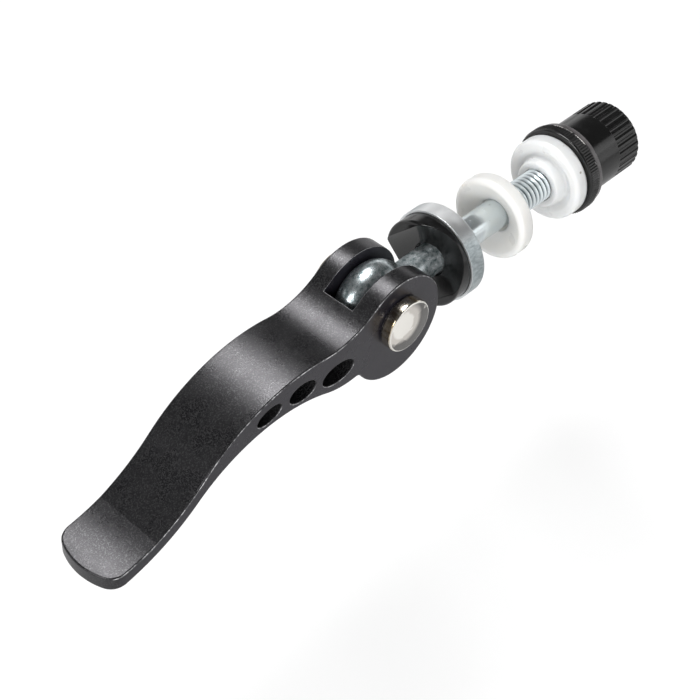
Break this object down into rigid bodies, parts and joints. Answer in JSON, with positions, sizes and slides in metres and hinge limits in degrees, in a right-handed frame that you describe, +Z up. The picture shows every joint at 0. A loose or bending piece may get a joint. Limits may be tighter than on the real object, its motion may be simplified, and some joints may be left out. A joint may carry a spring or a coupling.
{
  "type": "quick release seatpost clamp",
  "caption": "Quick release seatpost clamp: S-curved black cam lever on an eye bolt with cup and saddle, loose nylon washers and a fluted thumb nut.",
  "frame": {"origin": "on the rod's axis, near the middle of the space between the two nylon washers where the seat lug is clamped", "axes": "+X along the rod from the lever to the nut, Y along the pivot pin, +Z up with the lever at mid stroke"},
  "size_m": [0.1252, 0.0178, 0.0238],
  "materials": {
    "lever_paint": "satin black powder coat with a fine grain",
    "nickel": "polished nickel plate",
    "zinc": "bright zinc plate",
    "black_plastic": "moulded, half gloss",
    "nylon": "natural white nylon",
    "black_gloss": "gloss black"
  },
  "bodies": {
    "rod": {"eye_bolt": "zinc"},
    "cam_lever": {"lever": "lever_paint", "pivot_pin": "nickel"},
    "cup": {"cam_cup": "zinc"},
    "saddle": {"cam_saddle": "black_plastic"},
    "inner_washer": {"lever_washer": "nylon"},
    "outer_washer": {"nut_washer": "nylon"},
    "nut": {"adjusting_nut": "black_gloss"}
  },
  "joints": [
    {"name": "lever_swing", "type": "hinge", "parent": "rod", "child": "cam_lever", "pos_m": [-0.038, 0, 0], "axis": [0, 1, 0], "range_deg": [-90, 90]},
    {"name": "cup_slide", "type": "slide", "parent": "rod", "child": "cup", "axis": [1, 0, 0], "range_m": [-0.0007, 0.0045]},
    {"name": "saddle_turn", "type": "hinge", "parent": "cup", "child": "saddle", "pos_m": [-0.0225, 0, 0], "axis": [1, 0, 0], "continuous": true},
    {"name": "inner_washer_slide", "type": "slide", "parent": "rod", "child": "inner_washer", "axis": [1, 0, 0], "range_m": [-0.0058, 0.00005]},
    {"name": "nut_travel", "type": "slide", "parent": "rod", "child": "outer_washer", "axis": [1, 0, 0], "range_m": [-0.0061, 0.0021]},
    {"name": "nut_spin", "type": "hinge", "parent": "outer_washer", "child": "nut", "pos_m": [0.0175, 0, 0], "axis": [1, 0, 0], "range_deg": [-2160, 720]}
  ],
  "couplings": [
    {"joint": "nut_travel", "follows": "nut_spin", "m_per_rad": 0.00015915}
  ]
}
